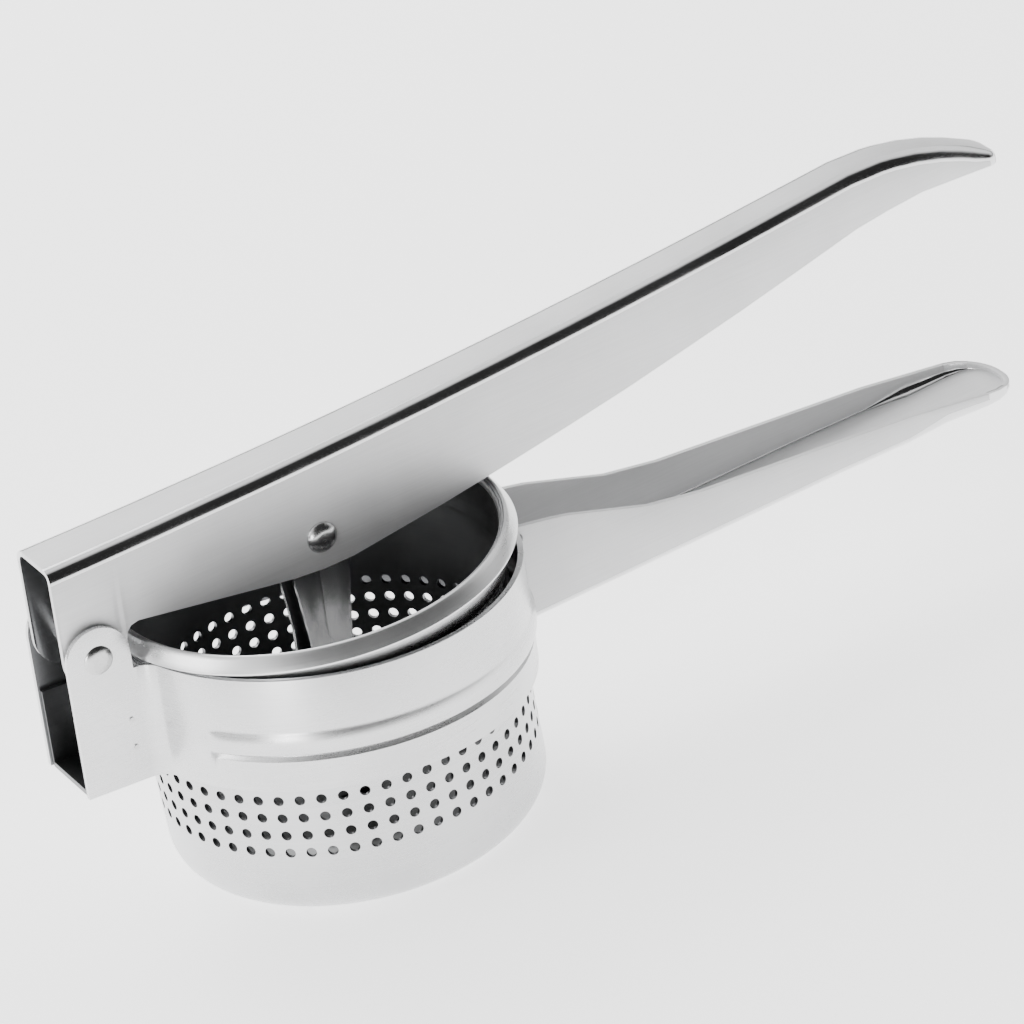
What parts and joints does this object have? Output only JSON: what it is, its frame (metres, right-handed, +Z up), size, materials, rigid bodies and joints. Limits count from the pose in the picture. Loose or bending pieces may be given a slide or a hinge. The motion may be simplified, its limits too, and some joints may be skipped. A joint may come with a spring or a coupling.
{
  "type": "potato ricer",
  "caption": "Hand-held ricer: a lever presses a round plate into a perforated basket held in a collar with a channel handle.",
  "frame": {"origin": "centre of the basket's flat bottom, on the surface it stands on", "axes": "+Z up along the basket's axis, +X from the hinge towards the handle tips, Y along the hinge rivet"},
  "size_m": [0.2372, 0.0908, 0.0997],
  "materials": {
    "basket": "satin drawn stainless sheet, dull inside",
    "collar_band": "satin stainless sheet with polished bends",
    "cheek_spacer": "dull stainless sheet",
    "cheek_welds": "spot-weld dimples",
    "lower_handle": "satin stainless sheet",
    "handle_welds": "small tack welds",
    "hinge_rivet": "polished rivet",
    "hinge_washers": "plain steel washer",
    "lever": "satin stainless sheet with polished bends",
    "plunger_rivet": "polished rivet",
    "plunger_washers": "plain steel washer",
    "plunger_yoke": "dull folded stainless sheet",
    "plunger_plate": "satin stainless sheet",
    "plate_rivets": "small rivets"
  },
  "bodies": {
    "frame": {"collar_band": "collar_band", "cheek_spacer": "cheek_spacer", "cheek_welds": "cheek_welds", "lower_handle": "lower_handle", "handle_welds": "handle_welds", "hinge_rivet": "hinge_rivet", "hinge_washers": "hinge_washers"},
    "basket": {"basket": "basket"},
    "lever": {"lever": "lever", "plunger_rivet": "plunger_rivet", "plunger_washers": "plunger_washers"},
    "plunger": {"plunger_yoke": "plunger_yoke", "plunger_plate": "plunger_plate", "plate_rivets": "plate_rivets"}
  },
  "joints": [
    {"name": "lever_swing", "type": "hinge", "parent": "frame", "child": "lever", "pos_m": [-0.05312, 0, 0.06642], "axis": [0, -1, 0], "range_deg": [-0.9, 40]},
    {"name": "plunger_swing", "type": "hinge", "parent": "lever", "child": "plunger", "pos_m": [0.00186, 0, 0.07068], "axis": [0, -1, 0], "range_deg": [-27, 1.5]},
    {"name": "basket_seat", "type": "hinge", "parent": "frame", "child": "basket", "pos_m": [-0.04272, 0, 0.06126], "axis": [0, 1, 0], "range_deg": [0, 3.6]}
  ],
  "couplings": [
    {"joint": "plunger_swing", "follows": "lever_swing", "ratio": -0.655}
  ]
}
